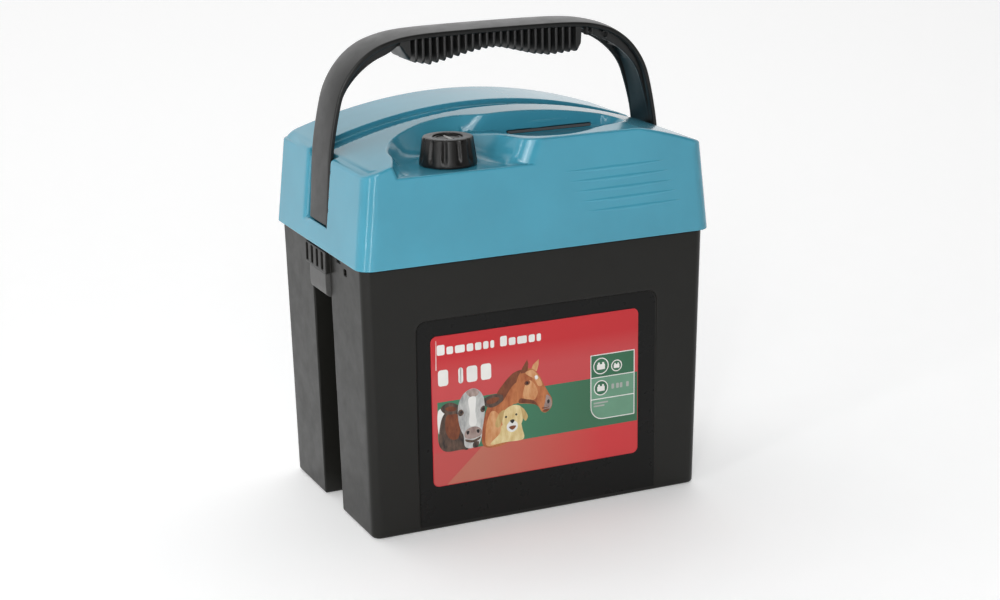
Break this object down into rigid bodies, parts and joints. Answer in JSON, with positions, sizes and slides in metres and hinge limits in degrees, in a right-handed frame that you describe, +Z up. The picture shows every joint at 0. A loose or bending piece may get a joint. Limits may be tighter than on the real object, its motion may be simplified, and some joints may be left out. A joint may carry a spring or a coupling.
{
  "type": "fence energizer",
  "caption": "Battery fence energizer: tapered black battery case, domed blue lid with a rotary knob, carrying handle in side grooves, press latches and a front label.",
  "frame": {"origin": "on the ground, under the middle of the case and lid", "axes": "+Z up, -Y towards the front with the label, +X to the right as seen from the front"},
  "size_m": [0.24, 0.159, 0.3045],
  "materials": {
    "case_black": "satin moulded",
    "lid_blue": "satin gloss moulded",
    "handle_black": "satin moulded",
    "latch_grey": "satin moulded",
    "label_print": "printed film with a gloss laminate",
    "battery_wrap": "coated wrap",
    "battery_top": "matte",
    "grey_plastic": "matte",
    "board_green": "solder resist",
    "film_yellow": "tape wrap",
    "ferrite": "matte",
    "copper": "enamelled winding",
    "brass": "plain",
    "steel": "zinc plated",
    "aluminium": "plain",
    "sleeve_black": "satin",
    "fuse_glass": "clear",
    "knob_black": "satin moulded",
    "window_dark": "gloss tinted",
    "led_red": "tinted epoxy",
    "rubber_red": "matte",
    "rubber_black": "matte",
    "wire_red": "matte",
    "wire_black": "matte"
  },
  "bodies": {
    "case": {"battery_case": "case_black", "label": "label_print", "battery_block": "battery_wrap", "battery_cover": "battery_top", "battery_socket": "sleeve_black", "socket_sleeve_positive": "brass", "socket_sleeve_negative": "brass"},
    "lid": {"lid_shell": "lid_blue", "electronics_tray": "case_black", "circuit_board": "board_green", "storage_capacitor": "film_yellow", "output_transformer_core": "ferrite", "output_transformer_coil": "copper", "charging_transformer": "ferrite", "supply_capacitor": "sleeve_black", "heat_sink": "aluminium", "thyristor": "sleeve_black", "fuse_holder": "brass", "fuse": "fuse_glass", "rotary_switch": "grey_plastic", "switch_nut": "steel", "indicator_window": "window_dark", "indicator_led": "led_red", "fence_lead_grommet": "rubber_red", "earth_lead_grommet": "rubber_black", "battery_plug": "grey_plastic", "plug_pin_positive": "brass", "plug_pin_negative": "brass", "battery_lead_positive": "wire_red", "battery_lead_negative": "wire_black", "tray_screw_1": "steel", "tray_screw_2": "steel", "tray_screw_3": "steel", "tray_screw_4": "steel", "board_screw_1": "steel", "board_screw_2": "steel", "board_screw_3": "steel", "board_screw_4": "steel"},
    "knob": {"knob_shaft": "brass", "knob": "knob_black", "knob_cap": "knob_black"},
    "handle": {"handle": "handle_black"},
    "latch_left": {"latch_left": "latch_grey"},
    "latch_right": {"latch_right": "latch_grey"}
  },
  "joints": [
    {"name": "lid_lift", "type": "slide", "parent": "case", "child": "lid", "axis": [0, 0, 1], "range_m": [0, 0.08]},
    {"name": "handle_slide", "type": "slide", "parent": "lid", "child": "handle", "axis": [0, 0, 1], "range_m": [-0.012, 0]},
    {"name": "knob_turn", "type": "hinge", "parent": "lid", "child": "knob", "pos_m": [-0.0515, -0.0545, 0.2288], "axis": [0, 0, -1], "range_deg": [0, 90]},
    {"name": "latch_left_press", "type": "hinge", "parent": "case", "child": "latch_left", "pos_m": [-0.1112, 0, 0.1635], "axis": [0, -1, 0], "range_deg": [0, 8], "stiffness_Nm_per_rad": 0.3, "springref_deg": -5.73},
    {"name": "latch_right_press", "type": "hinge", "parent": "case", "child": "latch_right", "pos_m": [0.1112, 0, 0.1635], "axis": [0, 1, 0], "range_deg": [0, 8], "stiffness_Nm_per_rad": 0.3, "springref_deg": -5.73}
  ]
}
